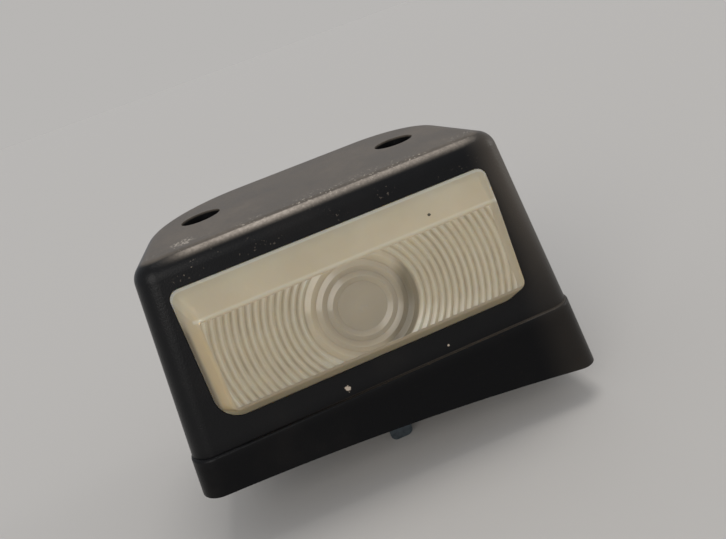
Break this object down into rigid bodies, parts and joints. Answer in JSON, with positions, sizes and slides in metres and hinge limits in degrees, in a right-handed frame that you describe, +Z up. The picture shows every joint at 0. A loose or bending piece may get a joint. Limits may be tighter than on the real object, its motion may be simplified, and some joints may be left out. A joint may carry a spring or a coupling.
{
  "type": "front indicator lamp",
  "caption": "Small black hooded vehicle lamp with a wide ringed clear lens, screwed down from above onto curved bodywork, with a bayonet bulb inside.",
  "frame": {"origin": "midway between the seats of the two mounting screws, level with the ledge between hood and skirt", "axes": "+X along the lamp, -Y the way the lens faces, +Z up along the mounting screws"},
  "size_m": [0.1044, 0.0736, 0.0737],
  "materials": {
    "black_hood": "fine grained, dusty",
    "clear_lens": "clear, yellowed with age",
    "black_rubber": "matt",
    "pale_reflector": "pale, satin",
    "black_plate": "plain moulded",
    "plated_steel": "zinc plated",
    "bulb_glass": "clear",
    "brass": "dull",
    "black_glass": "gloss",
    "solder": "soft sheen",
    "wire": "drawn",
    "brown_insulator": "pressed",
    "tinned_blade": "tinned, tarnished blue-grey",
    "tinned_strip": "tinned"
  },
  "bodies": {
    "root": {"housing": "black_hood", "screw_columns": "black_hood", "lens": "clear_lens", "lens_seal": "black_rubber", "rim_seal": "black_rubber", "reflector": "pale_reflector", "base_plate": "black_plate", "base_screws": "plated_steel", "bulb_glass": "bulb_glass", "bulb_cap": "brass", "bulb_insulator": "black_glass", "bulb_contact": "solder", "filament": "wire", "lead_wires": "wire", "holder_sleeve": "brass", "holder_base": "brown_insulator", "contact_disc": "brown_insulator", "contact_spring": "wire", "centre_contact": "brass", "live_terminal": "tinned_blade", "earth_strip": "tinned_strip", "holder_rivets": "plated_steel"}
  },
  "joints": []
}
